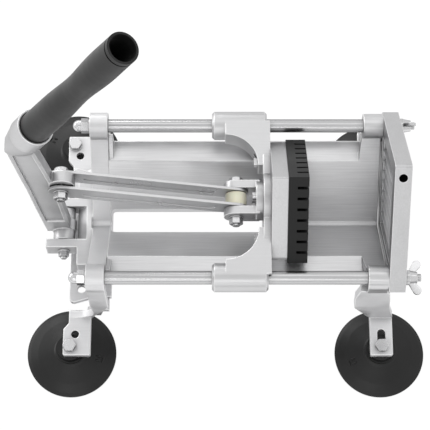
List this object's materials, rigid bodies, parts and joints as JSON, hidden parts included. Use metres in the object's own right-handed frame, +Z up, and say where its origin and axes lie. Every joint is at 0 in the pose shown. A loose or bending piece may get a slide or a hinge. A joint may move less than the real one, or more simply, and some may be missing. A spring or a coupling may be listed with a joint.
{
  "type": "manual vegetable slicer",
  "caption": "Lever-operated vegetable slicer: a hand lever and links push a toothed pusher along two rods through a square blade grid, on suction feet.",
  "frame": {"origin": "on the table, below the middle of the four suction cups", "axes": "+X along the rods towards the blade frame, +Y across to the operator's left, +Z up"},
  "size_m": [0.348, 0.2654, 0.4335],
  "materials": {
    "cast_aluminium": "fine cast, satin",
    "machined_aluminium": "brushed",
    "polished_steel": "polished",
    "stainless_steel": "brushed",
    "plated_fasteners": "bright plated",
    "black_plastic": "moulded, matt",
    "grip_black": "satin",
    "cup_rubber": "soft rubber",
    "nylon": "translucent cream",
    "bronze": "turned",
    "dark_bush": "turned"
  },
  "bodies": {
    "base": {"trough_bed": "cast_aluminium", "rear_bracket": "cast_aluminium", "guide_rod_left": "polished_steel", "guide_rod_right": "polished_steel", "acorn_nuts": "polished_steel", "rod_washers": "plated_fasteners", "rear_leg_left": "cast_aluminium", "rear_leg_right": "cast_aluminium", "front_leg_left": "cast_aluminium", "front_leg_right": "cast_aluminium", "leg_screws": "plated_fasteners", "suction_cup_rear_left": "cup_rubber", "suction_cup_rear_right": "cup_rubber", "suction_cup_front_left": "cup_rubber", "suction_cup_front_right": "cup_rubber", "cup_screws": "plated_fasteners", "cup_washers": "plated_fasteners", "pivot_bolt": "plated_fasteners", "pivot_nut": "plated_fasteners", "blade_frame": "machined_aluminium", "front_blades": "stainless_steel", "rear_blades": "stainless_steel", "stud_washers": "plated_fasteners"},
    "lever": {"lever_arm": "cast_aluminium", "lever_bush": "bronze", "hand_grip": "grip_black"},
    "links": {"link_bar_left": "stainless_steel", "link_bar_right": "stainless_steel", "eye_bolt": "plated_fasteners", "eye_washers": "plated_fasteners", "eye_nut": "plated_fasteners"},
    "carriage": {"carriage_yoke": "cast_aluminium", "slide_bushes": "dark_bush", "clevis": "cast_aluminium", "pusher_block": "machined_aluminium", "pusher_pad": "black_plastic", "pusher_screws": "plated_fasteners", "clevis_screws": "plated_fasteners", "link_bolt": "plated_fasteners", "link_washers": "plated_fasteners", "link_nut": "plated_fasteners"},
    "roller": {"link_roller": "nylon"},
    "left_wing_nut": {"wing_nut_left": "polished_steel"},
    "right_wing_nut": {"wing_nut_right": "polished_steel"}
  },
  "joints": [
    {"name": "lever_pivot", "type": "hinge", "parent": "base", "child": "lever", "pos_m": [-0.138, 0, 0.074], "axis": [0, 1, 0], "range_deg": [-12, 36]},
    {"name": "carriage_slide", "type": "slide", "parent": "base", "child": "carriage", "axis": [1, 0, 0], "range_m": [-0.0234, 0.0699]},
    {"name": "link_pivot", "type": "hinge", "parent": "carriage", "child": "links", "pos_m": [0.008, 0, 0.138], "axis": [0, 1, 0], "range_deg": [-7.7, 2.6]},
    {"name": "roller_spin", "type": "hinge", "parent": "carriage", "child": "roller", "pos_m": [0.008, 0, 0.138], "axis": [0, 1, 0], "continuous": true},
    {"name": "left_wing_nut_spin", "type": "hinge", "parent": "base", "child": "left_wing_nut", "pos_m": [0.1491, 0.0662, 0.138], "axis": [1, 0, 0], "continuous": true},
    {"name": "right_wing_nut_spin", "type": "hinge", "parent": "base", "child": "right_wing_nut", "pos_m": [0.1491, -0.0662, 0.138], "axis": [1, 0, 0], "continuous": true}
  ],
  "couplings": [
    {"joint": "carriage_slide", "follows": "lever_pivot", "m_per_rad": 0.11106},
    {"joint": "link_pivot", "follows": "lever_pivot", "ratio": -0.2126}
  ]
}
